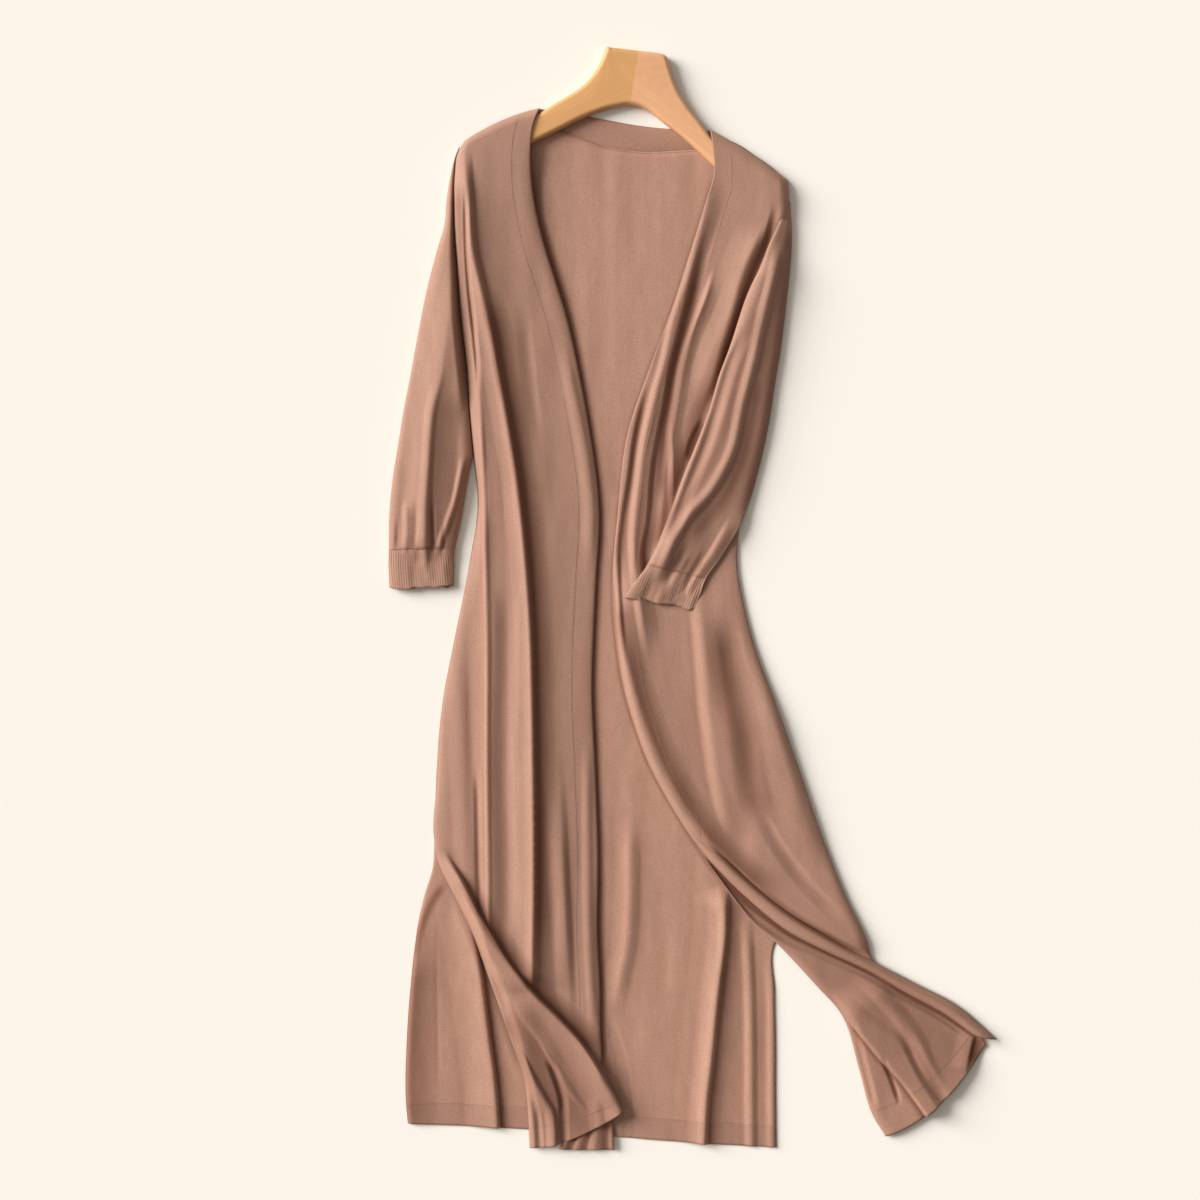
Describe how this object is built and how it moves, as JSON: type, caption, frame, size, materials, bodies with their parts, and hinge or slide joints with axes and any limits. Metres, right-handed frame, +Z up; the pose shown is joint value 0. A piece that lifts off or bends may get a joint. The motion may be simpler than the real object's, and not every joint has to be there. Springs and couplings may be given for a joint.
{
  "type": "long cardigan on a wooden hanger, laid flat",
  "caption": "Long open-front knitted cardigan with ribbed band and cuffs, laid flat on a plain wooden hanger, one front corner swung out.",
  "frame": {"origin": "middle of the footprint, on the surface that the cardigan lies on", "axes": "+Y towards the neck, +X towards the wearer's left side (the viewer's right), +Z up, away from the surface"},
  "size_m": [0.6859, 1.241, 0.0187],
  "materials": {
    "knit": "matte",
    "rib": "matte",
    "wood": "satin"
  },
  "bodies": {
    "root": {"back": "knit", "back_hem": "rib", "back_neck_band": "rib", "right_front": "knit", "right_front_band": "rib", "right_front_hem": "rib", "left_front": "knit", "left_front_band": "rib", "left_front_hem": "rib", "right_sleeve": "knit", "right_cuff": "rib", "left_sleeve": "knit", "left_cuff": "rib", "hanger": "wood"}
  },
  "joints": []
}
